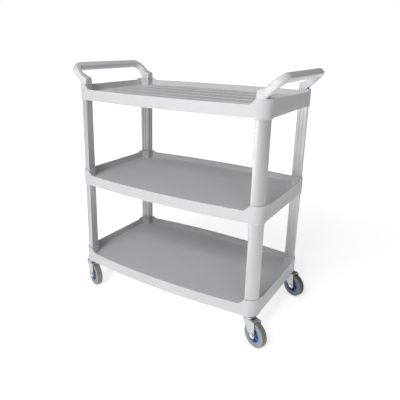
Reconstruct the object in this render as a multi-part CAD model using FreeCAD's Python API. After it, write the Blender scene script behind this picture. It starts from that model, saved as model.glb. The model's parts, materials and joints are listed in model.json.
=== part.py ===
import FreeCAD, Part
import math
import os

# Three-shelf service trolley on four swivel castors, millimetres, +Z up.
# Origin: on the floor, under the centre of the shelves. X runs along the
# length of the shelves, Y across them, and the low loading side is -Y.

os.makedirs("parts", exist_ok=True)
V = FreeCAD.Vector

# Stack of shelves
CASTOR_HEIGHT = 101.0
SHELF_PITCH = 330.0
BOSS_HEIGHT = 61.0
SHELF_BASES = [CASTOR_HEIGHT, CASTOR_HEIGHT + SHELF_PITCH, CASTOR_HEIGHT + 2 * SHELF_PITCH]

# Shelf moulding
HALF_LENGTH = 380.5
HALF_WIDTH = 212.5
SIDE_BOW = 22.5
CORNER_RADIUS = 38.0
SKIRT_WALL = 4.0
SKIRT_LIFT = 4.0
FLOOR_DROP = 28.0
FLOOR_THICK = 3.5
RIM_INSET_TOP = 5.0
RIM_INSET_FLOOR = 11.0
FRONT_RIM_DROP = 18.0
BACK_RIM_DROP = 8.0
END_RIM_DROP = 6.0
BOSS_INNER_X = 336.5
BOSS_INNER_Y = 171.5
SOCKET_DEPTH = 28.0
SOCKET_GAP = 0.2
RIB_THICK = 2.5
RIB_DEPTH = 14.0
RIB_ROWS_Y = (-140.0, -70.0, 0.0, 70.0, 140.0)
RIB_ROWS_X = (-280.0, -140.0, 0.0, 140.0, 280.0)
FRONT_RIM_SPAN = 322.0
BACK_RIM_SPAN = 326.0
END_RIM_SPAN = 150.0
TOP_BEADS_Y = (-120.0, -40.0, 40.0, 120.0)
TOP_BEAD_REACH = 320.0
TOP_BEAD_WIDTH = 8.0
TOP_BEAD_RISE = 1.2

# Upright extrusion: a quarter-round box section
POST_OUT_X = 377.5
POST_OUT_Y = 208.5
POST_LENGTH_X = 39.0
POST_LENGTH_Y = 35.0
POST_ROUND = 34.0
POST_WALL = 2.2
POST_INNER_WALL = 4.6
GROOVE_WIDTH = 6.0
GROOVE_DEPTH = 2.0
GROOVE_OFFSET = 6.5

# Push handles
BAR_CENTRE_X = 408.5
BAR_CENTRE_Z = 60.5
LEG_CENTRE_Y = 193.5
LEAN_DEG = 44.0
ELBOW_RADIUS = 34.0
GRIP_WIDE = 28.0
GRIP_DEEP = 26.0
GRIP_ROUND = 8.5
FOOT_INSET = 1.5
FOOT_HEIGHT = 44.0
FOOT_TAPER = 7.0
FOOT_OUTER_X = 366.0
SHOULDER_HEIGHT = 23.0
SCREW_RADIUS = 2.0

# Castors
WHEEL_DIAMETER = 90.0
TYRE_WIDTH = 24.0
TYRE_INNER_RADIUS = 33.0
CASTOR_TRAIL = 29.0
SWIVEL_REST_DEG = -24.0
STEM_RADIUS = 5.5
STEM_HEAD_RADIUS = 19.0
RACE_RADIUS = 13.0
RACE_DROP = 3.6
BALL_RADIUS = 1.95
BALL_COUNT = 14
CROWN_UNDER = 93.0
CROWN_THICK = 2.5
FORK_INNER_HALF = 14.2
FORK_PLATE = 2.4
CROWN_BACK = -18.0
CROWN_FRONT = 36.0
EYE_RADIUS = 11.5
AXLE_RADIUS = 4.0
SLEEVE_RADIUS = 6.0
RUN_GAP = 0.06

CORNERS = {"fl": (-1, -1), "fr": (1, -1), "bl": (-1, 1), "br": (1, 1)}
STEM_X = POST_OUT_X - POST_LENGTH_X / 2
STEM_Y = POST_OUT_Y - POST_LENGTH_Y / 2


def save(name, shape):
    """Write one sub-part and report its size."""
    box = shape.optimalBoundingBox(False, False)
    ok = shape.isValid() and shape.Volume > 0
    print(name, "ok" if ok else "BAD", round(shape.Volume / 1000, 1), "cm3",
          [round(v, 1) for v in (box.XMin, box.YMin, box.ZMin, box.XMax, box.YMax, box.ZMax)])
    shape.exportStep("parts/" + name + ".step")


def box(x0, y0, z0, x1, y1, z1):
    """Box between two corners."""
    return Part.makeBox(x1 - x0, y1 - y0, z1 - z0, V(x0, y0, z0))


def tube(r, z0, z1, x=0.0, y=0.0):
    """Upright cylinder."""
    return Part.makeCylinder(r, z1 - z0, V(x, y, z0), V(0, 0, 1))


def mirrored(shape, sx, sy):
    """Copy of a shape made for the +X +Y corner, placed at another corner."""
    out = shape.copy()
    if sx < 0:
        out = out.mirror(V(0, 0, 0), V(1, 0, 0))
    if sy < 0:
        out = out.mirror(V(0, 0, 0), V(0, 1, 0))
    return out


def rounded(shape, edges, radii):
    """Fillet the edges with the first radius that gives a valid solid."""
    if not edges:
        return shape
    for r in radii:
        try:
            out = shape.makeFillet(r, edges)
        except Exception:
            continue
        if out.isValid() and 0 < out.Volume < shape.Volume * 1.2:
            return out
    print("  fillet skipped on", len(edges), "edges")
    return shape


def edges_where(shape, test):
    """Edges whose middle point and direction pass a test."""
    found = []
    for e in shape.Edges:
        a, b = e.ParameterRange
        p = e.valueAt((a + b) / 2)
        d = e.valueAt(b) - e.valueAt(a)
        if d.Length > 1e-6:
            d = d.normalize()
        if test(p, d, e):
            found.append(e)
    return found


# ---------------------------------------------------------------- shelves

def plan_wire(inset, z):
    """Shelf outline: straight ends, bowed long sides, round corners."""
    chord = HALF_LENGTH - CORNER_RADIUS
    bow_r = (chord * chord + SIDE_BOW * SIDE_BOW) / (2 * SIDE_BOW)
    bow_y = HALF_WIDTH + SIDE_BOW - bow_r
    centre_y = bow_y + math.sqrt((bow_r - CORNER_RADIUS) ** 2 - chord ** 2)
    reach = V(chord, centre_y - bow_y, 0).normalize()
    r = CORNER_RADIUS - inset
    end_x = HALF_LENGTH - inset
    touch = V(0, bow_y, 0) + reach * (bow_r - inset)
    middle = (V(1, 0, 0) + reach).normalize() * r + V(chord, centre_y, 0)
    top = V(0, bow_y + bow_r - inset, 0)

    def at(p, sx=1, sy=1):
        return V(p.x * sx, p.y * sy, z)

    end = V(end_x, centre_y, 0)
    edges = [
        Part.LineSegment(at(end, 1, -1), at(end)).toShape(),
        Part.Arc(at(end), at(middle), at(touch)).toShape(),
        Part.Arc(at(touch), at(top), at(touch, -1)).toShape(),
        Part.Arc(at(touch, -1), at(middle, -1), at(end, -1)).toShape(),
        Part.LineSegment(at(end, -1), at(end, -1, -1)).toShape(),
        Part.Arc(at(end, -1, -1), at(middle, -1, -1), at(touch, -1, -1)).toShape(),
        Part.Arc(at(touch, -1, -1), at(top, 1, -1), at(touch, 1, -1)).toShape(),
        Part.Arc(at(touch, 1, -1), at(middle, 1, -1), at(end, 1, -1)).toShape(),
    ]
    return Part.Wire(edges)


def plan_prism(inset, z0, z1):
    """Upright prism of the inset outline."""
    return Part.Face(plan_wire(inset, z0)).extrude(V(0, 0, z1 - z0))


def rim_cutter(half_span, drop, top_z):
    """Trapezoid that lowers a rim between its corners, with eased ramps."""
    up = 20.0
    low = top_z - drop
    pts = [V(-half_span - drop - up, 0, top_z + up), V(-half_span, 0, low),
           V(half_span, 0, low), V(half_span + drop + up, 0, top_z + up)]
    face = Part.Face(Part.makePolygon(pts + [pts[0]]))
    prism = face.extrude(V(0, 60, 0))
    bends = edges_where(prism, lambda p, d, e: abs(d.y) > 0.9 and p.z < low + 1)
    return rounded(prism, bends, [10.0, 6.0])


def post_face(grow, z, round_r=None):
    """Quarter-round section of the +X +Y upright, grown by a gap."""
    r = POST_ROUND if round_r is None else round_r
    x1 = POST_OUT_X + grow
    y1 = POST_OUT_Y + grow
    x0 = POST_OUT_X - POST_LENGTH_X - grow
    y0 = POST_OUT_Y - POST_LENGTH_Y - grow
    c = V(x1 - r, y1 - r, z)
    s = math.sqrt(0.5) * r
    edges = [
        Part.LineSegment(V(x0, y0, z), V(x1, y0, z)).toShape(),
        Part.LineSegment(V(x1, y0, z), V(x1, c.y, z)).toShape(),
        Part.Arc(V(x1, c.y, z), V(c.x + s, c.y + s, z), V(c.x, y1, z)).toShape(),
        Part.LineSegment(V(c.x, y1, z), V(x0, y1, z)).toShape(),
        Part.LineSegment(V(x0, y1, z), V(x0, y0, z)).toShape(),
    ]
    return Part.Face(Part.Wire(edges))


def socket_cut(z0, z1):
    """Pocket that holds an upright's end."""
    return post_face(SOCKET_GAP, z0).extrude(V(0, 0, z1 - z0))


def make_boss(base, top):
    """Corner block of the +X +Y corner, inside the outline."""
    block = box(BOSS_INNER_X, BOSS_INNER_Y, base, HALF_LENGTH + 5, HALF_WIDTH + 30, top)
    inner = edges_where(block, lambda p, d, e: abs(d.z) > 0.9 and p.x < STEM_X and p.y < STEM_Y)
    return rounded(block, inner, [6.0])


def make_shelf(base, is_top):
    """One moulded tray: floor, skirt, stepped rim, bosses and under-ribs."""
    top = base + BOSS_HEIGHT
    deck = top - FLOOR_DROP
    skirt = base + SKIRT_LIFT
    body = plan_prism(0.0, skirt, top)
    tray = Part.makeLoft([plan_wire(RIM_INSET_FLOOR, deck), plan_wire(RIM_INSET_TOP, top + 0.5)],
                         True, True)
    under = plan_prism(SKIRT_WALL, skirt - 1, deck - FLOOR_THICK)
    body = body.cut(tray)
    body = body.cut(under)
    front = rim_cutter(FRONT_RIM_SPAN, FRONT_RIM_DROP, top)
    front.translate(V(0, -HALF_WIDTH - SIDE_BOW - 5, 0))
    back = rim_cutter(BACK_RIM_SPAN, BACK_RIM_DROP, top)
    back.translate(V(0, HALF_WIDTH - 35, 0))
    right = rim_cutter(END_RIM_SPAN, END_RIM_DROP, top)
    right.rotate(V(0, 0, 0), V(0, 0, 1), -90)
    right.translate(V(HALF_LENGTH - 50, 0, 0))
    for cutter in (front, back, right, mirrored(right, -1, 1)):
        body = body.cut(cutter)

    # The corner blocks keep the full height, so the rims ramp up to them.
    outline = plan_prism(0.0, base, top)
    boss = make_boss(base, top).common(outline)
    lift = edges_where(boss, lambda p, d, e: abs(p.z - top) < 0.01)
    boss = rounded(boss, lift, [2.5, 1.5])
    foot = edges_where(boss, lambda p, d, e: abs(p.z - base) < 0.01)
    boss = rounded(boss, foot, [1.5, 1.0])
    for sx, sy in CORNERS.values():
        body = body.fuse(mirrored(boss, sx, sy))

    # Stiffening ribs below the floor.
    inside = plan_prism(SKIRT_WALL - 0.5, base, top)
    half = RIB_THICK / 2
    low = deck - FLOOR_THICK - RIB_DEPTH
    for y in RIB_ROWS_Y:
        rib = box(-HALF_LENGTH, y - half, low, HALF_LENGTH, y + half, deck - 1)
        body = body.fuse(rib.common(inside))
    for x in RIB_ROWS_X:
        rib = box(x - half, -HALF_WIDTH - SIDE_BOW, low, x + half, HALF_WIDTH + SIDE_BOW, deck - 1)
        body = body.fuse(rib.common(inside))
    if is_top:
        for y in TOP_BEADS_Y:
            bead = box(-TOP_BEAD_REACH, y - TOP_BEAD_WIDTH / 2, deck - 1,
                       TOP_BEAD_REACH, y + TOP_BEAD_WIDTH / 2, deck + TOP_BEAD_RISE)
            long_edges = edges_where(bead, lambda p, d, e: abs(d.x) > 0.9 and p.z > deck)
            body = body.fuse(rounded(bead, long_edges, [1.0]))

    lower = socket_cut(base - 1, base + SOCKET_DEPTH)
    upper = socket_cut(top - SOCKET_DEPTH, top + 1)
    screw_hole = tube(SCREW_RADIUS + 0.2, base, top, STEM_X, STEM_Y)
    for sx, sy in CORNERS.values():
        body = body.cut(mirrored(lower, sx, sy))
        body = body.cut(mirrored(upper, sx, sy))
        if is_top:
            body = body.cut(mirrored(screw_hole, sx, sy))
    return body.removeSplitter()


# --------------------------------------------------------------- uprights

def make_post(z0, z1):
    """Hollow quarter-round upright with two grooves in each inner face."""
    h = z1 - z0
    solid = post_face(0.0, z0).extrude(V(0, 0, h))
    corners = edges_where(solid, lambda p, d, e: abs(d.z) > 0.9 and (
        p.x < STEM_X - 5 and p.y < STEM_Y - 5
        or p.x < STEM_X - 5 and p.y > POST_OUT_Y - 1
        or p.x > POST_OUT_X - 1 and p.y < STEM_Y - 5))
    solid = rounded(solid, corners, [2.5, 1.5])
    x0 = POST_OUT_X - POST_LENGTH_X
    y0 = POST_OUT_Y - POST_LENGTH_Y
    core = post_face(-POST_WALL, z0 - 1, POST_ROUND - POST_WALL).extrude(V(0, 0, h + 2))
    keep = box(x0 + POST_INNER_WALL, y0 + POST_INNER_WALL, z0 - 1, HALF_LENGTH, HALF_WIDTH, z1 + 1)
    solid = solid.cut(core.common(keep))
    half = GROOVE_WIDTH / 2
    for side in (-1, 1):
        c = STEM_Y + side * GROOVE_OFFSET
        solid = solid.cut(box(x0 - 1, c - half, z0 - 1, x0 + GROOVE_DEPTH, c + half, z1 + 1))
        c = STEM_X + side * GROOVE_OFFSET
        solid = solid.cut(box(c - half, y0 - 1, z0 - 1, c + half, y0 + GROOVE_DEPTH, z1 + 1))
    return solid


# ---------------------------------------------------------------- handles

def foot_wire(z, taper, reach, r):
    """Section of a handle's foot at the +X +Y corner, drawn in by a taper."""
    x1 = HALF_LENGTH - FOOT_INSET + reach
    x0 = BOSS_INNER_X
    y1 = HALF_WIDTH - FOOT_INSET - taper
    y0 = BOSS_INNER_Y + taper
    c = V(x1 - r, y1 - r, z)
    s = math.sqrt(0.5) * r
    edges = [
        Part.LineSegment(V(x0, y0, z), V(x1, y0, z)).toShape(),
        Part.LineSegment(V(x1, y0, z), V(x1, c.y, z)).toShape(),
        Part.Arc(V(x1, c.y, z), V(c.x + s, c.y + s, z), V(c.x, y1, z)).toShape(),
        Part.LineSegment(V(c.x, y1, z), V(x0, y1, z)).toShape(),
        Part.LineSegment(V(x0, y1, z), V(x0, y0, z)).toShape(),
    ]
    return Part.Wire(edges)


def grip_section(at, deep_dir):
    """Rounded rectangle, wide along Y, standing across the leg's foot."""
    w = GRIP_WIDE / 2
    d = GRIP_DEEP / 2
    r = GRIP_ROUND
    k = r * (1 - math.sqrt(0.5))
    y = V(0, 1, 0)

    def p(a, b):
        return at + y * a + deep_dir * b

    edges = []
    for sa, sb in ((1, 1), (-1, 1), (-1, -1), (1, -1)):
        start = p(sa * w, sb * (d - r))
        end = p(sa * (w - r), sb * d)
        middle = p(sa * (w - k), sb * (d - k))
        if sa * sb < 0:
            start, end = end, start
        edges.append(Part.Arc(start, middle, end).toShape())
    joins = [(p(w - r, d), p(r - w, d)), (p(-w, d - r), p(-w, r - d)),
             (p(r - w, -d), p(w - r, -d)), (p(w, r - d), p(w, d - r))]
    order = []
    for arc, (a, b) in zip(edges, joins):
        order.append(arc)
        order.append(Part.LineSegment(a, b).toShape())
    return Part.Wire(order)


def bend(before, corner, after, radius):
    """Tangent arc at a corner: its start, middle and end points."""
    u = (before - corner).normalize()
    v = (after - corner).normalize()
    half = u.getAngle(v) / 2
    reach = radius / math.tan(half)
    centre = corner + (u + v).normalize() * (radius / math.sin(half))
    middle = centre + (corner - centre).normalize() * radius
    return corner + u * reach, middle, corner + v * reach


def make_grip(base):
    """Swept leaning leg, elbow, bar, elbow and leg, cut off at the foot."""
    lean = math.radians(LEAN_DEG)
    bar_z = base + BAR_CENTRE_Z
    run = 110.0
    foot_x = BAR_CENTRE_X - run * math.cos(lean)
    foot_z = bar_z - run * math.sin(lean)
    points = [V(foot_x, -LEG_CENTRE_Y, foot_z), V(BAR_CENTRE_X, -LEG_CENTRE_Y, bar_z),
              V(BAR_CENTRE_X, LEG_CENTRE_Y, bar_z), V(foot_x, LEG_CENTRE_Y, foot_z)]
    a, m, b = bend(points[0], points[1], points[2], ELBOW_RADIUS)
    c, n, d = bend(points[1], points[2], points[3], ELBOW_RADIUS)
    path = Part.Wire([
        Part.LineSegment(points[0], a).toShape(),
        Part.Arc(a, m, b).toShape(),
        Part.LineSegment(b, c).toShape(),
        Part.Arc(c, n, d).toShape(),
        Part.LineSegment(d, points[3]).toShape(),
    ])
    section = grip_section(points[0], V(-math.sin(lean), 0, math.cos(lean)))
    grip = path.makePipeShell([section], True, False)
    keep = box(BOSS_INNER_X, -250, base + 0.5, BAR_CENTRE_X + 60, 250, base + 120)
    return grip.common(keep)


def make_foot(base):
    """Foot of a leg: full width on the boss, narrowing up into the leg."""
    low = foot_wire(base, 0, 0, POST_ROUND)
    high = foot_wire(base + FOOT_HEIGHT, FOOT_TAPER, 22.0, 12.0)
    taper = Part.makeLoft([low, high], True, True)
    x0 = BOSS_INNER_X
    x1 = FOOT_OUTER_X
    side = [(x0, 0), (x1, 0), (x1, 3), (x1 + 23, 26), (x1 + 9, 38),
            (x0 + 15, SHOULDER_HEIGHT + 4), (x0, SHOULDER_HEIGHT)]
    points = [V(x, BOSS_INNER_Y - 20, base + z) for x, z in side]
    profile = Part.Face(Part.makePolygon(points + [points[0]])).extrude(V(0, 70, 0))
    foot = taper.common(profile)
    edges = edges_where(foot, lambda p, d, e: abs(p.x - x0) < 0.5 and p.z > base + 2)
    return rounded(foot, edges, [5.0, 4.0, 3.0, 2.0])


def make_handle(side):
    """U-shaped push handle across one end of the top shelf."""
    base = SHELF_BASES[2] + BOSS_HEIGHT
    body = make_grip(base)
    foot = make_foot(base)
    plug = post_face(-0.05, base - SOCKET_DEPTH).extrude(V(0, 0, SOCKET_DEPTH + 1))
    hole = tube(SCREW_RADIUS, base - SOCKET_DEPTH - 1, base - SOCKET_DEPTH + 20, STEM_X, STEM_Y)
    for sy in (1, -1):
        body = body.fuse(mirrored(foot, 1, sy))
        body = body.fuse(mirrored(plug, 1, sy))
        body = body.cut(mirrored(hole, 1, sy))
    return mirrored(body.removeSplitter(), side, 1)


def make_handle_screws():
    """Self-tapping screws up through the boss webs into the spigots."""
    shapes = []
    web_low = SHELF_BASES[2] + SOCKET_DEPTH
    for sx, sy in CORNERS.values():
        x = sx * STEM_X
        y = sy * STEM_Y
        shank = tube(SCREW_RADIUS, web_low, web_low + 22, x, y)
        head = tube(4.2, web_low - 2.6, web_low, x, y)
        drive = tube(1.4, web_low - 3, web_low - 1.2, x, y)
        shapes.append(shank.fuse(head).cut(drive).removeSplitter())
    return Part.makeCompound(shapes)


# ---------------------------------------------------------------- castors

def swing(shape, sx, sy):
    """Turn a castor piece to its rest heading and put it under its corner."""
    out = shape.copy()
    out.rotate(V(0, 0, 0), V(0, 0, 1), SWIVEL_REST_DEG)
    out.translate(V(sx * STEM_X, sy * STEM_Y, 0))
    return out


def across(r, half, x, z, start=None):
    """Cylinder along the axle, centred on the castor's middle plane."""
    y0 = -half if start is None else start
    return Part.makeCylinder(r, half - y0, V(x, y0, z), V(0, 1, 0))


def ring_across(r_out, r_in, half, x, z):
    """Ring along the axle."""
    return across(r_out, half, x, z).cut(across(r_in, half + 1, x, z))


def ball_track():
    """Groove in which the swivel's balls run."""
    return Part.makeTorus(RACE_RADIUS, BALL_RADIUS + 0.15, V(0, 0, CASTOR_HEIGHT - RACE_DROP), V(0, 0, 1))


def make_socket():
    """Plug in the lower pocket of a bottom boss, bored for the stem."""
    plug = post_face(-0.05, CASTOR_HEIGHT).extrude(V(0, 0, SOCKET_DEPTH))
    corners = edges_where(plug, lambda p, d, e: abs(d.z) > 0.9 and p.x < STEM_X and p.y < STEM_Y)
    plug = rounded(plug, corners, [2.0])
    return plug.cut(tube(STEM_RADIUS + 0.05, CASTOR_HEIGHT - 1, CASTOR_HEIGHT + 24, STEM_X, STEM_Y))


def make_stem():
    """Stem, washer flange that closes the ball race, and riveted foot."""
    top = CASTOR_HEIGHT
    flange = tube(STEM_HEAD_RADIUS, top - 2.0, top)
    skirt = tube(STEM_HEAD_RADIUS, top - 4.2, top - 2.0).cut(tube(STEM_HEAD_RADIUS - 1.6, top - 5, top - 1.9))
    shank = tube(STEM_RADIUS, CROWN_UNDER - 0.4, top + 22)
    tip = edges_where(shank, lambda p, d, e: p.z > top + 21)
    shank = shank.makeChamfer(1.0, tip)
    rivet = tube(8.0, CROWN_UNDER - 2.4, CROWN_UNDER - 0.4)
    return flange.fuse(skirt).fuse(shank).fuse(rivet).cut(ball_track()).removeSplitter()


def make_balls():
    """Ring of bearing balls between the flange and the crown."""
    balls = []
    for i in range(BALL_COUNT):
        a = 2 * math.pi * i / BALL_COUNT
        centre = V(RACE_RADIUS * math.cos(a), RACE_RADIUS * math.sin(a), CASTOR_HEIGHT - RACE_DROP)
        balls.append(Part.makeSphere(BALL_RADIUS, centre))
    return Part.makeCompound(balls)


def cheek_face(y):
    """Side plate of the fork: wide under the crown, round at the axle."""
    axle_z = WHEEL_DIAMETER / 2
    eye = EYE_RADIUS
    top_z = CROWN_UNDER + CROWN_THICK
    back = V(CROWN_BACK, y, top_z)
    front = V(CROWN_FRONT, y, top_z)
    c = V(CASTOR_TRAIL, y, axle_z)

    def tangent(p, side):
        d = p - c
        dist = d.Length
        base = math.atan2(d.z, d.x)
        turn = math.acos(eye / dist) * side
        return V(c.x + eye * math.cos(base + turn), y, c.z + eye * math.sin(base + turn))

    low_back = V(CROWN_BACK, y, top_z - 12)
    low_front = V(CROWN_FRONT, y, top_z - 9)
    ta = tangent(low_back, 1)
    tb = tangent(low_front, -1)
    bottom = V(c.x, y, c.z - eye)
    edges = [
        Part.LineSegment(back, front).toShape(),
        Part.LineSegment(front, low_front).toShape(),
        Part.LineSegment(low_front, tb).toShape(),
        Part.Arc(tb, bottom, ta).toShape(),
        Part.LineSegment(ta, low_back).toShape(),
        Part.LineSegment(low_back, back).toShape(),
    ]
    return Part.Face(Part.Wire(edges))


def make_fork():
    """Pressed fork: crown with its swivel head, and two cheeks."""
    top = CROWN_UNDER + CROWN_THICK
    outer = FORK_INNER_HALF + FORK_PLATE
    envelope = cheek_face(-outer).extrude(V(0, 2 * outer, 0))
    bends = edges_where(envelope, lambda p, d, e: abs(d.x) > 0.9 and p.z > top - 1 and abs(p.y) > outer - 1)
    envelope = rounded(envelope, bends, [3.0, 2.0])
    inside = box(-30, -FORK_INNER_HALF, 0, 60, FORK_INNER_HALF, CROWN_UNDER)
    fork = envelope.cut(inside)
    head = tube(STEM_HEAD_RADIUS - 2.2, top - 0.5, CASTOR_HEIGHT - 3.2)
    head = head.fuse(Part.makeCone(STEM_HEAD_RADIUS + 1.0, STEM_HEAD_RADIUS - 2.2, 1.4, V(0, 0, top - 0.1)))
    fork = fork.fuse(head)
    fork = fork.cut(ball_track())
    fork = fork.cut(tube(STEM_RADIUS + 0.1, CROWN_UNDER - 1, CASTOR_HEIGHT))
    fork = fork.cut(across(AXLE_RADIUS + 0.05, 30, CASTOR_TRAIL, WHEEL_DIAMETER / 2))
    return fork.removeSplitter()


def hexagon(across_flats, y0, y1, x, z):
    """Hexagonal prism along Y."""
    r = across_flats / math.sqrt(3)
    pts = [V(x + r * math.cos(math.radians(60 * i)), y0, z + r * math.sin(math.radians(60 * i)))
           for i in range(7)]
    return Part.Face(Part.makePolygon(pts)).extrude(V(0, y1 - y0, 0))


def make_axle():
    """Axle bolt with a low hexagon head on the outside of the fork."""
    x = CASTOR_TRAIL
    z = WHEEL_DIAMETER / 2
    side = FORK_INNER_HALF + FORK_PLATE
    shank = across(AXLE_RADIUS, side + 7.0, x, z, -side - 0.5)
    end = edges_where(shank, lambda p, d, e: p.y > side + 6)
    shank = shank.makeChamfer(0.8, end)
    head = hexagon(12.0, -side - 4.4, -side, x, z)
    crown = Part.makeCone(8.6, 5.0, 3.6, V(x, -side - 0.8, z), V(0, -1, 0))
    crown = crown.fuse(across(8.6, -side + 0.001, x, z, -side - 0.9))
    return shank.fuse(head.common(crown)).removeSplitter()


def make_nut():
    """Lock nut at the free end of the axle bolt."""
    x = CASTOR_TRAIL
    z = WHEEL_DIAMETER / 2
    side = FORK_INNER_HALF + FORK_PLATE
    body = hexagon(12.0, side, side + 5.0, x, z)
    collar = across(5.8, side + 6.2, x, z, side + 4.8)
    return body.fuse(collar).cut(across(AXLE_RADIUS + 0.02, side + 10, x, z, side - 1)).removeSplitter()


def make_sleeve():
    """Spacer sleeve that the fork clamps and the hub turns on."""
    return ring_across(SLEEVE_RADIUS, AXLE_RADIUS + 0.05, FORK_INNER_HALF, CASTOR_TRAIL, WHEEL_DIAMETER / 2)


def make_hub():
    """Wheel centre: bore boss, dished web and rim that carries the tyre."""
    x = CASTOR_TRAIL
    z = WHEEL_DIAMETER / 2
    half = FORK_INNER_HALF - 0.6
    hub = across(12.0, half, x, z)
    web = across(TYRE_INNER_RADIUS - 6, 3.0, x, z)
    rim = ring_across(TYRE_INNER_RADIUS, TYRE_INNER_RADIUS - 8.0, TYRE_WIDTH / 2 - 1.0, x, z)
    hub = hub.fuse(web).fuse(rim)
    for i in range(6):
        a = math.radians(60 * i + 30)
        rib = box(x + 11, -half + 4.5, z - 1.6, x + TYRE_INNER_RADIUS - 5, half - 4.5, z + 1.6)
        rib.rotate(V(x, 0, z), V(0, 1, 0), math.degrees(a))
        hub = hub.fuse(rib)
    lips = edges_where(hub, lambda p, d, e: isinstance(e.Curve, Part.Circle)
                       and abs(e.Curve.Radius - 12.0) < 0.1 and abs(abs(p.y) - half) < 0.1)
    hub = rounded(hub, lips, [1.2])
    return hub.cut(across(SLEEVE_RADIUS + RUN_GAP, half + 1, x, z)).removeSplitter()


def make_tyre():
    """Solid tread ring with a crowned running face."""
    x = CASTOR_TRAIL
    z = WHEEL_DIAMETER / 2
    half = TYRE_WIDTH / 2
    tread = across(WHEEL_DIAMETER / 2, half, x, z)
    shoulder = edges_where(tread, lambda p, d, e: isinstance(e.Curve, Part.Circle))
    tread = rounded(tread, shoulder, [5.0, 4.0])
    return tread.cut(across(TYRE_INNER_RADIUS, half + 1, x, z))


for index, name in enumerate(("bottom_shelf", "middle_shelf", "top_shelf")):
    save(name, make_shelf(SHELF_BASES[index], index == 2))

save("left_handle", make_handle(-1))
save("right_handle", make_handle(1))
save("handle_screws", make_handle_screws())

lower_post = make_post(SHELF_BASES[0] + BOSS_HEIGHT - SOCKET_DEPTH, SHELF_BASES[1] + SOCKET_DEPTH)
upper_post = make_post(SHELF_BASES[1] + BOSS_HEIGHT - SOCKET_DEPTH, SHELF_BASES[2] + SOCKET_DEPTH)
socket = make_socket()
castor_pieces = {"stem": make_stem(), "balls": make_balls(), "fork": make_fork(), "axle": make_axle(),
                 "nut": make_nut(), "sleeve": make_sleeve(), "hub": make_hub(), "tyre": make_tyre()}
for corner, (sx, sy) in CORNERS.items():
    save("upright_lower_" + corner, mirrored(lower_post, sx, sy))
    save("upright_upper_" + corner, mirrored(upper_post, sx, sy))
    save("castor_socket_" + corner, mirrored(socket, sx, sy))
    for piece, shape in castor_pieces.items():
        save("castor_" + corner + "_" + piece, swing(shape, sx, sy))
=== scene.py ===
import json
import math

import bpy
import bmesh
from mathutils import Matrix, Vector

# Three-shelf service trolley: light grey mouldings, aluminium uprights and
# zinc-plated swivel castors with grey tread and blue wheel centres. Metres.

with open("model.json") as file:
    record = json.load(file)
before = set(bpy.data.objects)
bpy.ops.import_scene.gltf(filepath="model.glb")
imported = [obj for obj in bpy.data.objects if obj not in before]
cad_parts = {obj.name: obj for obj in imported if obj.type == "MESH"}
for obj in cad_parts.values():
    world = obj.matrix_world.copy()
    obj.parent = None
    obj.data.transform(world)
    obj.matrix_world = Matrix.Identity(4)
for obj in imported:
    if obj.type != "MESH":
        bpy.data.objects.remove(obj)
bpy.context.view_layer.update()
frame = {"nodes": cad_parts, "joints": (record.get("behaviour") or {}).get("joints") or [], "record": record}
record = frame["record"]
slot_of = {part["node"]: part["material_slot"] for part in record["subparts"]}
roll_joints = {j["child"]: j for j in frame["joints"] if j["name"].endswith("_roll")}

MM = 0.001

# Camera: a normal lens a little above the handles, off the front right corner
CAMERA_PLACE = Vector((0.8495, -1.4110, 0.9744))
CAMERA_YAW = math.radians(32.394)
CAMERA_DOWN = math.radians(16.150)
CAMERA_ROLL = math.radians(0.911)
CAMERA_LENS = 39.86
CAMERA_SENSOR = 36.0
CAMERA_SHIFT = (0.046, -0.0728)

# Colours, linear light
SHELF_GREY = (0.580, 0.578, 0.600, 1)
HANDLE_GREY = (0.650, 0.652, 0.672, 1)
SOCKET_GREY = (0.300, 0.302, 0.310, 1)
ALUMINIUM = (0.560, 0.556, 0.566, 1)
ZINC = (0.540, 0.552, 0.558, 1)
ZINC_VEIL = (0.660, 0.700, 0.740, 1)
BOLT_STEEL = (0.820, 0.815, 0.790, 1)
HUB_BLUE = (0.075, 0.135, 0.330, 1)
HUB_RIM_BLUE = (0.190, 0.290, 0.520, 1)
HUB_EDGE_BLUE = (0.340, 0.450, 0.660, 1)
HUB_DUST = (0.420, 0.460, 0.520, 1)
TREAD_GREY = (0.190, 0.186, 0.150, 1)
WALL_GREY = (0.330, 0.325, 0.300, 1)
# Painted shade on the wheels: multipliers on their colours, darkening the back wheels, the front ones barely
FRONT_WHEEL_SHADE = (0.96, 0.96, 0.95, 1)
BACK_WHEEL_SHADE = (0.50, 0.54, 0.52, 1)
FLOOR_DARK = (0.860, 0.860, 0.865, 1)
FLOOR_LIGHT = (0.880, 0.880, 0.885, 1)
WHITE = (1, 1, 1, 1)

# Refractive indices of the plastics
POLYPROPYLENE_IOR = 1.49
NYLON_IOR = 1.53
RUBBER_IOR = 1.52

# Places on a wheel: radii from the axle, and distances from its middle plane
MOULD_LINE_RADIUS = 38.6 * MM
HUB_RIM_RADIUS = (23.0 * MM, 27.0 * MM)
HUB_FACE_OFFSET = (8.0 * MM, 10.5 * MM)
HUB_RECESS_OFFSET = (2.5 * MM, 8.0 * MM)
TYRE_WALL_OFFSET = (9.2 * MM, 11.2 * MM)

# Softened edges: radius by slot, and the steps that make them
EDGE_RADIUS = {
    "shelf_plastic": 1.4 * MM,
    "handle_plastic": 1.2 * MM,
    "upright_aluminium": 0.5 * MM,
    "plated_steel": 0.35 * MM,
    "hub_plastic": 0.6 * MM,
    "tyre_rubber": 0.8 * MM,
    "socket_plastic": 0.5 * MM,
}
WELD_DISTANCE = 0.01 * MM
EDGE_SEGMENTS = 2
SHARP_ANGLE = math.radians(38)
NORMAL_WEIGHT = 50

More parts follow.
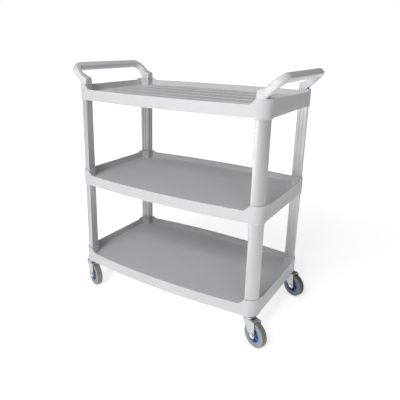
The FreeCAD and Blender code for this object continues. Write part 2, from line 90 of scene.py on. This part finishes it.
# Stage. The floor's glow grows away from the camera and drops off at the right.
FLOOR_HALF = 20.0
FLOOR_GLOW = 0.60
GLOW_HEADING = (-0.53, 0.85, 0.0)
GLOW_REACH = (0.2, 2.2)
GLOW_RIGHT_END = (0.9, 1.5)
GLOW_AT_RIGHT = 0.65
SURROUND_RADIUS = 2 * FLOOR_HALF
LIGHT_TARGET = Vector((0, 0, 0.5))
ROOM_BRIGHT_SIDE = Vector((-0.75, -0.45, 0.35)).normalized()
ROOM_GLOW = 0.20


# ------------------------------------------------------------ node helpers

class Nodes:
    """A small writer of node trees, so that each material reads as a recipe."""

    def __init__(self, name):
        self.mat = bpy.data.materials.new(name)
        self.mat.use_nodes = True
        self.tree = self.mat.node_tree
        self.shader = self.tree.nodes["Principled BSDF"]
        self.coord = self.add("ShaderNodeTexCoord").outputs["Object"]

    def add(self, kind, **settings):
        node = self.tree.nodes.new(kind)
        for key, value in settings.items():
            setattr(node, key, value)
        return node

    def put(self, socket, value):
        """Links an output, or sets a plain number or colour."""
        if isinstance(value, bpy.types.NodeSocket):
            self.tree.links.new(value, socket)
        else:
            socket.default_value = value

    def noise(self, scale, detail=3.0, rough=0.5, vector=None, distortion=0.0):
        node = self.add("ShaderNodeTexNoise")
        self.put(node.inputs["Vector"], self.coord if vector is None else vector)
        self.put(node.inputs["Scale"], scale)
        self.put(node.inputs["Detail"], detail)
        self.put(node.inputs["Roughness"], rough)
        self.put(node.inputs["Distortion"], distortion)
        return node.outputs["Fac"]

    def cells(self, scale):
        """Random grey per crystal."""
        node = self.add("ShaderNodeTexVoronoi")
        self.put(node.inputs["Vector"], self.coord)
        self.put(node.inputs["Scale"], scale)
        grey = self.add("ShaderNodeRGBToBW")
        self.put(grey.inputs[0], node.outputs["Color"])
        return grey.outputs[0]

    def stretched(self, x, y, z, turn_z=0.0, origin=(0, 0, 0)):
        """Object coordinates moved to an origin, turned about Z, and scaled."""
        move = self.add("ShaderNodeVectorMath", operation="SUBTRACT")
        self.put(move.inputs[0], self.coord)
        self.put(move.inputs[1], origin)
        turn = self.add("ShaderNodeVectorRotate", rotation_type="Z_AXIS")
        self.put(turn.inputs["Vector"], move.outputs[0])
        self.put(turn.inputs["Angle"], turn_z)
        scale = self.add("ShaderNodeVectorMath", operation="MULTIPLY")
        self.put(scale.inputs[0], turn.outputs[0])
        self.put(scale.inputs[1], (x, y, z))
        return scale.outputs[0]

    def axes(self, vector):
        """The X, Y and Z of a vector."""
        split = self.add("ShaderNodeSeparateXYZ")
        self.put(split.inputs[0], vector)
        return split.outputs["X"], split.outputs["Y"], split.outputs["Z"]

    def dot(self, a, b):
        node = self.add("ShaderNodeVectorMath", operation="DOT_PRODUCT")
        self.put(node.inputs[0], a)
        self.put(node.inputs[1], b)
        return node.outputs["Value"]

    def math(self, operation, a, b=0.0):
        node = self.add("ShaderNodeMath", operation=operation)
        self.put(node.inputs[0], a)
        self.put(node.inputs[1], b)
        return node.outputs[0]

    def times(self, a, b):
        return self.math("MULTIPLY", a, b)

    def inverse(self, value):
        return self.math("SUBTRACT", 1.0, value)

    def ramp(self, value, low, high, to_low=0.0, to_high=1.0):
        """Maps a range of values to another, clamped."""
        node = self.add("ShaderNodeMapRange")
        self.put(node.inputs["Value"], value)
        self.put(node.inputs["From Min"], low)
        self.put(node.inputs["From Max"], high)
        self.put(node.inputs["To Min"], to_low)
        self.put(node.inputs["To Max"], to_high)
        return node.outputs["Result"]

    def mix(self, factor, a, b, blend="MIX"):
        node = self.add("ShaderNodeMix", data_type="RGBA", blend_type=blend)
        self.put(node.inputs["Factor"], factor)
        self.put(node.inputs["A"], a)
        self.put(node.inputs["B"], b)
        return node.outputs["Result"]

    def coat(self, body, mask, strength, color):
        """Lays a colour over the body where the mask is 1."""
        return self.mix(self.times(mask, strength), body, color)

    def edges(self, radius, low=0.02, high=0.25):
        """1 on a sharp edge and 0 on a flat, from a rounded normal."""
        rounded = self.add("ShaderNodeBevel", samples=6)
        self.put(rounded.inputs["Radius"], radius)
        plain = self.add("ShaderNodeNewGeometry")
        same = self.dot(rounded.outputs["Normal"], plain.outputs["Normal"])
        return self.ramp(self.inverse(same), low, high)

    def facing_up(self):
        """1 on faces that look up, 0 on walls."""
        plain = self.add("ShaderNodeNewGeometry")
        _, _, z = self.axes(plain.outputs["Normal"])
        return self.ramp(z, 0.7, 0.98)

    def bump(self, layers):
        """Chains (height, depth in metres, strength) layers into one normal."""
        normal = None
        for height, depth, strength in layers:
            node = self.add("ShaderNodeBump")
            self.put(node.inputs["Strength"], strength)
            self.put(node.inputs["Distance"], depth)
            self.put(node.inputs["Height"], height)
            if normal is not None:
                self.put(node.inputs["Normal"], normal)
            normal = node.outputs["Normal"]
        self.put(self.shader.inputs["Normal"], normal)

    def surface(self, color, roughness, **constants):
        self.put(self.shader.inputs["Base Color"], color)
        self.put(self.shader.inputs["Roughness"], roughness)
        for key, value in constants.items():
            self.put(self.shader.inputs[key.replace("_", " ")], value)
        return self.mat


def tint(color, factor):
    """A colour made lighter or darker."""
    return tuple(min(1.0, c * factor) for c in color[:3]) + (1,)


# --------------------------------------------------------------- materials

def moulded_plastic(name, color, grain=0.35, rough=0.42, scuffed_and_top_lit=False):
    """Injection-moulded polypropylene: fine spark grain, flow mottle, worn edges; on scuffed decks, painted
    light on the faces that look up.
    """
    n = Nodes(name)
    flow = n.noise(scale=7.0, detail=4.0, rough=0.55, distortion=0.6)
    cloud = n.noise(scale=45.0, detail=5.0, rough=0.6)
    speck = n.noise(scale=620.0, detail=1.0, rough=0.5)
    broken = n.noise(scale=70.0, detail=4.0, rough=0.7)
    sheen = n.noise(scale=24.0, detail=5.0, rough=0.6)
    spark = n.noise(scale=1150.0, detail=2.0, rough=0.6)
    wave = n.noise(scale=9.0, detail=2.0, rough=0.5)

    body = n.mix(n.ramp(flow, 0.30, 0.70), tint(color, 0.955), tint(color, 1.03))
    body = n.coat(body, n.ramp(cloud, 0.35, 0.70), 0.20, tint(color, 0.93))
    body = n.coat(body, n.ramp(speck, 0.70, 0.78), 0.10, tint(color, 0.70))
    worn = n.times(n.edges(2.2 * MM), n.ramp(broken, 0.38, 0.62, 0.25, 1.0))
    body = n.coat(body, worn, 0.45, tint(color, 1.16))
    rough_map = n.ramp(sheen, 0.3, 0.7, rough - 0.06, rough + 0.08)
    layers = [(spark, 0.10 * MM, grain), (wave, 1.2 * MM, 0.10)]
    if scuffed_and_top_lit:
        marks = scuff_marks(n)
        grime = n.noise(scale=3.2, detail=5.0, rough=0.62)
        grime = n.times(n.ramp(grime, 0.46, 0.74), n.facing_up())
        # Painted light: faces that look up are made lighter, as if lit from above
        body = n.coat(body, n.facing_up(), 0.45, tint(color, 1.15))
        body = n.coat(body, marks, 0.30, tint(color, 0.74))
        body = n.coat(body, grime, 0.16, tint(color, 0.66))
        rough_map = n.math("ADD", rough_map, n.times(marks, 0.12))
        layers.append((marks, 0.06 * MM, 0.5))
    n.bump(layers)
    return n.surface(body, rough_map, IOR=POLYPROPYLENE_IOR)


def scuff_marks(n):
    """Fine crossing scratches in patches, on the faces that look up."""
    along = n.noise(1.0, 4.0, 0.7, n.stretched(14.0, 520.0, 60.0, turn_z=0.35))
    across = n.noise(1.0, 4.0, 0.7, n.stretched(420.0, 18.0, 60.0, turn_z=-0.5))
    lines = n.math("MAXIMUM", n.ramp(along, 0.66, 0.72), n.ramp(across, 0.69, 0.75))
    patch = n.ramp(n.noise(scale=5.0, detail=3.0, rough=0.6), 0.45, 0.68)
    return n.times(n.times(lines, patch), n.facing_up())


def satin_aluminium(name):
    """Anodised extrusion: long drawn lines, soft cloudy sheen, brighter arrises."""
    n = Nodes(name)
    drawn = n.noise(1.0, 5.0, 0.65, n.stretched(900.0, 900.0, 3.5))
    broad = n.noise(1.0, 3.0, 0.5, n.stretched(160.0, 160.0, 1.2))
    cloud = n.noise(scale=11.0, detail=4.0, rough=0.6)
    body = n.mix(n.ramp(drawn, 0.35, 0.65), tint(ALUMINIUM, 0.93), tint(ALUMINIUM, 1.04))
    body = n.coat(body, n.ramp(cloud, 0.4, 0.7), 0.25, tint(ALUMINIUM, 0.88))
    body = n.coat(body, n.edges(1.2 * MM), 0.5, tint(ALUMINIUM, 1.35))
    both = n.math("ADD", n.times(drawn, 0.5), n.times(cloud, 0.5))
    n.bump([(drawn, 0.05 * MM, 0.30), (broad, 0.15 * MM, 0.18)])
    return n.surface(body, n.ramp(both, 0.35, 0.65, 0.36, 0.50), Metallic=0.60)


def zinc_plate(name, color=ZINC, rough=0.30):
    """Bright zinc plating over pressed steel: faint spangle and passivation tint."""
    n = Nodes(name)
    veil = n.noise(scale=38.0, detail=3.0, rough=0.5)
    dull = n.noise(scale=120.0, detail=4.0, rough=0.65)
    sheen = n.noise(scale=95.0, detail=4.0, rough=0.6)
    pitting = n.noise(scale=420.0, detail=3.0, rough=0.6)
    wave = n.noise(scale=60.0, detail=2.0, rough=0.5)
    body = n.mix(n.ramp(n.cells(210.0), 0.2, 0.8), tint(color, 0.90), tint(color, 1.05))
    body = n.coat(body, n.ramp(veil, 0.40, 0.70), 0.22, ZINC_VEIL)
    body = n.coat(body, n.ramp(dull, 0.56, 0.72), 0.30, tint(color, 0.62))
    body = n.coat(body, n.edges(0.9 * MM), 0.6, tint(color, 1.22))
    n.bump([(pitting, 0.06 * MM, 0.22), (wave, 0.3 * MM, 0.10)])
    return n.surface(body, n.ramp(sheen, 0.3, 0.7, rough - 0.07, rough + 0.12), Metallic=1.0)


def wheel_space(n, joint):
    """Radius from the axle and distance from the wheel's middle plane, in metres."""
    centre = Vector(joint["pos_m"])
    axle = Vector(joint["axis"])
    heading = math.atan2(axle.x, axle.y)
    x, y, z = n.axes(n.stretched(1.0, 1.0, 1.0, heading, centre))
    radius = n.math("SQRT", n.math("ADD", n.times(x, x), n.times(z, z)))
    return radius, n.math("ABSOLUTE", y)


def tread_rubber(name, joint, wheel_shade):
    """Non-marking grey tyre: scuffed running face, paler moulded side walls."""
    n = Nodes(name)
    radius, off_plane = wheel_space(n, joint)
    dust = n.ramp(n.noise(scale=130.0, detail=5.0, rough=0.65), 0.42, 0.68)
    stain = n.ramp(n.noise(scale=34.0, detail=4.0, rough=0.6), 0.50, 0.72)
    sheen = n.noise(scale=80.0, detail=3.0, rough=0.5)
    grain = n.noise(scale=900.0, detail=3.0, rough=0.6)
    wall = n.ramp(off_plane, *TYRE_WALL_OFFSET)
    from_line = n.math("ABSOLUTE", n.math("SUBTRACT", radius, MOULD_LINE_RADIUS))
    mould_line = n.inverse(n.ramp(from_line, 0.2 * MM, 0.7 * MM))

    body = n.mix(wall, TREAD_GREY, WALL_GREY)
    body = n.coat(body, dust, 0.35, tint(WALL_GREY, 1.10))
    body = n.coat(body, stain, 0.35, tint(TREAD_GREY, 0.62))
    body = n.coat(body, n.times(mould_line, wall), 0.4, tint(WALL_GREY, 0.6))
    body = n.coat(body, n.edges(1.5 * MM), 0.3, tint(WALL_GREY, 1.3))
    # Painted shade: the whole tyre colour is multiplied darker, most on the back wheels
    body = n.mix(1.0, body, wheel_shade, "MULTIPLY")
    n.bump([(grain, 0.12 * MM, 0.5), (mould_line, 0.3 * MM, 0.5), (dust, 0.1 * MM, 0.3)])
    return n.surface(body, n.ramp(sheen, 0.3, 0.7, 0.60, 0.78), IOR=RUBBER_IOR)


def hub_plastic(name, joint, wheel_shade):
    """Blue glass-filled nylon wheel centre with a paler rim, painted shade in the recess, and dust."""
    n = Nodes(name)
    radius, off_plane = wheel_space(n, joint)
    flow = n.ramp(n.noise(scale=55.0, detail=4.0, rough=0.6, distortion=0.8), 0.32, 0.68)
    dust = n.ramp(n.noise(scale=210.0, detail=4.0, rough=0.65), 0.50, 0.75)
    sheen = n.noise(scale=150.0, detail=3.0, rough=0.5)
    grain = n.noise(scale=700.0, detail=2.0, rough=0.6)
    face = n.times(n.ramp(radius, *HUB_RIM_RADIUS), n.ramp(off_plane, *HUB_FACE_OFFSET))
    recess_shade = n.inverse(n.ramp(off_plane, *HUB_RECESS_OFFSET))

    body = n.mix(flow, tint(HUB_BLUE, 0.86), tint(HUB_BLUE, 1.18))
    body = n.coat(body, face, 0.75, HUB_RIM_BLUE)
    # Painted shade: the recess near the wheel's middle plane is darkened
    body = n.coat(body, recess_shade, 0.45, tint(HUB_BLUE, 0.42))
    body = n.coat(body, dust, 0.18, HUB_DUST)
    body = n.coat(body, n.edges(1.0 * MM), 0.5, HUB_EDGE_BLUE)
    # Painted shade: the whole wheel centre colour is multiplied darker, most on the back wheels
    body = n.mix(1.0, body, wheel_shade, "MULTIPLY")
    n.bump([(grain, 0.06 * MM, 0.25)])
    return n.surface(body, n.ramp(sheen, 0.3, 0.7, 0.30, 0.46), IOR=NYLON_IOR)


def floor_finish(name):
    """Plain, very pale seamless studio floor, lit a little from within."""
    n = Nodes(name)
    cloud = n.ramp(n.noise(scale=1.4, detail=3.0, rough=0.5), 0.3, 0.7)
    grain = n.noise(scale=260.0, detail=3.0, rough=0.5)
    x, _, _ = n.axes(n.coord)
    glow = n.ramp(n.dot(n.coord, GLOW_HEADING), *GLOW_REACH, FLOOR_GLOW, 1.0)
    glow = n.times(glow, n.ramp(x, *GLOW_RIGHT_END, 1.0, GLOW_AT_RIGHT))
    n.bump([(grain, 0.2 * MM, 0.10)])
    return n.surface(n.mix(cloud, FLOOR_DARK, FLOOR_LIGHT), n.ramp(cloud, 0.0, 1.0, 0.62, 0.70),
                     Emission_Color=WHITE, Emission_Strength=glow)


# ------------------------------------------------------- finishes on nodes

def dress(node, mat):
    node.data.materials.clear()
    node.data.materials.append(mat)


def dress_nodes():
    """Gives each CAD node the finish of its slot. Each wheel has its own, set about its axle."""
    shared = {
        "shelf_plastic": moulded_plastic("shelf_moulding", SHELF_GREY, scuffed_and_top_lit=True),
        "handle_plastic": moulded_plastic("handle_moulding", HANDLE_GREY, grain=0.25, rough=0.38),
        "socket_plastic": moulded_plastic("socket_moulding", SOCKET_GREY),
        "upright_aluminium": satin_aluminium("upright_extrusion"),
        "plated_steel": zinc_plate("zinc_pressing"),
    }
    bolt = zinc_plate("bright_bolt", BOLT_STEEL, 0.24)
    for body, members in record["behaviour"]["bodies"].items():
        if body in roll_joints:
            joint = roll_joints[body]
            # The back wheels get painted shade, a darker colour standing in for the shadow they sit in
            wheel_shade = BACK_WHEEL_SHADE if body.startswith("castor_b") else FRONT_WHEEL_SHADE
            shared["tyre_rubber"] = tread_rubber("tread_" + body, joint, wheel_shade)
            shared["hub_plastic"] = hub_plastic("wheel_centre_" + body, joint, wheel_shade)
        for name in members:
            bright = name.endswith(("_axle", "_nut", "_balls", "_screws"))
            dress(frame["nodes"][name], bolt if bright else shared[slot_of[name]])


def soften(node, radius):
    """Rounds the sharp moulded and pressed edges a little, inside the same outline."""
    weld = node.modifiers.new("weld", "WELD")
    weld.merge_threshold = WELD_DISTANCE
    bevel = node.modifiers.new("round_edges", "BEVEL")
    bevel.width = radius
    bevel.segments = EDGE_SEGMENTS
    bevel.limit_method = "ANGLE"
    bevel.angle_limit = SHARP_ANGLE
    bevel.use_clamp_overlap = True
    bevel.harden_normals = False
    bevel.miter_outer = "MITER_ARC"
    smooth = node.modifiers.new("even_normals", "WEIGHTED_NORMAL")
    smooth.keep_sharp = False
    smooth.weight = NORMAL_WEIGHT


def soften_nodes():
    """Softens every node but the bearing balls, which have no edges."""
    for name, node in frame["nodes"].items():
        if not name.endswith("_balls"):
            soften(node, EDGE_RADIUS[slot_of[name]])


# ------------------------------------------------------------------- stage

def stage_object(name, bm):
    """An object of the stage, made from a bmesh."""
    mesh = bpy.data.meshes.new(name)
    bm.to_mesh(mesh)
    bm.free()
    ob = bpy.data.objects.new(name, mesh)
    bpy.context.scene.collection.objects.link(ob)
    return ob


def make_floor():
    bm = bmesh.new()
    bmesh.ops.create_grid(bm, x_segments=8, y_segments=8, size=FLOOR_HALF)
    floor = stage_object("floor", bm)
    floor.data.materials.append(floor_finish("studio_floor"))


def make_backdrop():
    """Plain white surround that only the view sees, so it adds no light."""
    bm = bmesh.new()
    bmesh.ops.create_uvsphere(bm, u_segments=32, v_segments=16, radius=SURROUND_RADIUS)
    bmesh.ops.reverse_faces(bm, faces=bm.faces)
    dome = stage_object("backdrop", bm)
    for rays in ("diffuse", "glossy", "transmission", "shadow", "volume_scatter"):
        setattr(dome, "visible_" + rays, False)
    mat = bpy.data.materials.new("white_surround")
    mat.use_nodes = True
    tree = mat.node_tree
    tree.nodes.remove(tree.nodes["Principled BSDF"])
    glow = tree.nodes.new("ShaderNodeEmission")
    glow.inputs["Strength"].default_value = 1.0
    tree.links.new(glow.outputs[0], tree.nodes["Material Output"].inputs["Surface"])
    dome.data.materials.append(mat)


def area_light(name, place, size, power):
    """A rectangular white light that faces the trolley's middle."""
    data = bpy.data.lights.new(name, "AREA")
    data.shape = "RECTANGLE"
    data.size, data.size_y = size
    data.energy = power
    light = bpy.data.objects.new(name, data)
    light.location = place
    light.rotation_euler = (LIGHT_TARGET - place).to_track_quat("-Z", "Y").to_euler()
    bpy.context.scene.collection.objects.link(light)
    return light


def from_middle(right_deg, up_deg, distance):
    """A place seen from the trolley's middle: degrees to the right of the front, and up."""
    right, up = math.radians(right_deg), math.radians(up_deg)
    way = Vector((math.sin(right) * math.cos(up), -math.cos(right) * math.cos(up), math.sin(up)))
    return LIGHT_TARGET + way * distance


def make_lights():
    """Broad raised key at the front, a small one at the right, a fill overhead, and a low
    card at the front left that shows only as a sheen."""
    area_light("key", from_middle(2, 33, 3.4), size=(1.6, 1.2), power=74)
    area_light("top_fill", Vector((0.1, 0.2, 3.2)), size=(2.2, 2.2), power=15)
    area_light("side_key", from_middle(44, 34, 3.2), size=(0.35, 0.35), power=6)
    card = area_light("sheen_card", from_middle(-12, -2, 3.0), size=(0.8, 0.9), power=13)
    card.visible_diffuse = False


def make_room():
    """Dim room, a little brighter at the left."""
    world = bpy.data.worlds.new("studio")
    bpy.context.scene.world = world
    world.use_nodes = True
    tree = world.node_tree
    back = tree.nodes["Background"]
    back.inputs["Color"].default_value = WHITE
    coord = tree.nodes.new("ShaderNodeTexCoord")
    side = tree.nodes.new("ShaderNodeVectorMath")
    side.operation = "DOT_PRODUCT"
    side.inputs[1].default_value = ROOM_BRIGHT_SIDE
    fade = tree.nodes.new("ShaderNodeMapRange")
    for key, number in (("From Min", -1.0), ("From Max", 1.0), ("To Min", 0.0), ("To Max", ROOM_GLOW)):
        fade.inputs[key].default_value = number
    tree.links.new(coord.outputs["Generated"], side.inputs[0])
    tree.links.new(side.outputs["Value"], fade.inputs["Value"])
    tree.links.new(fade.outputs["Result"], back.inputs["Strength"])


def make_camera():
    data = bpy.data.cameras.new("view")
    data.lens = CAMERA_LENS
    data.sensor_width = CAMERA_SENSOR
    data.shift_x, data.shift_y = CAMERA_SHIFT
    camera = bpy.data.objects.new("view", data)
    bpy.context.scene.collection.objects.link(camera)
    sin_yaw, cos_yaw = math.sin(CAMERA_YAW), math.cos(CAMERA_YAW)
    sin_down, cos_down = math.sin(CAMERA_DOWN), math.cos(CAMERA_DOWN)
    ahead = Vector((-sin_yaw * cos_down, cos_yaw * cos_down, -sin_down))
    level = Vector((cos_yaw, sin_yaw, 0))
    above = level.cross(ahead)
    right = math.cos(CAMERA_ROLL) * level + math.sin(CAMERA_ROLL) * above
    up = math.cos(CAMERA_ROLL) * above - math.sin(CAMERA_ROLL) * level
    turn = Matrix((right, up, -ahead)).transposed()
    camera.matrix_world = Matrix.Translation(CAMERA_PLACE) @ turn.to_4x4()
    bpy.context.scene.camera = camera


def set_tone():
    view = bpy.context.scene.view_settings
    view.view_transform = "Standard"
    view.look = "None"
    view.exposure = 0.0


make_camera()
set_tone()
make_floor()
make_backdrop()
make_lights()
make_room()
dress_nodes()
soften_nodes()
